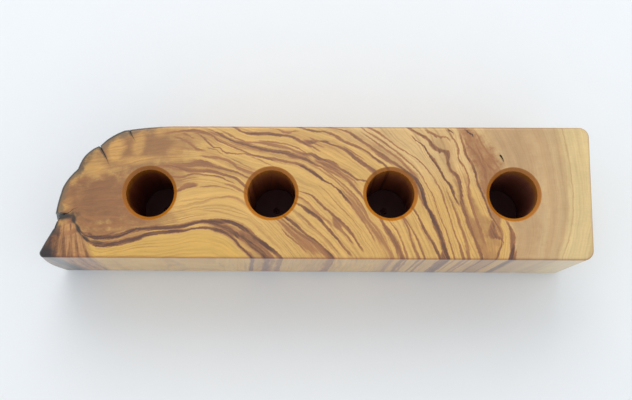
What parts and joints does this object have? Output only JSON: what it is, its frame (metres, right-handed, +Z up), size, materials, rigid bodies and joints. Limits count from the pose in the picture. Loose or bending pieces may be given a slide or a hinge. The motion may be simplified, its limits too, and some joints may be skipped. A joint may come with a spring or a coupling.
{
  "type": "dip pen holder",
  "caption": "Solid wooden desk block with one natural live edge and a row of chamfered blind bores that hold pens upright.",
  "frame": {"origin": "on the desk plane, under the middle of the object's bounding box", "axes": "+Z up out of the bores; +X along the row of bores, away from the live edge; -Y towards the front face"},
  "size_m": [0.2, 0.048, 0.05],
  "materials": {
    "wood": "oiled, satin",
    "felt": "pressed wool felt"
  },
  "bodies": {
    "root": {"block": "wood", "foot_front_left": "felt", "foot_rear_left": "felt", "foot_front_right": "felt", "foot_rear_right": "felt"}
  },
  "joints": []
}
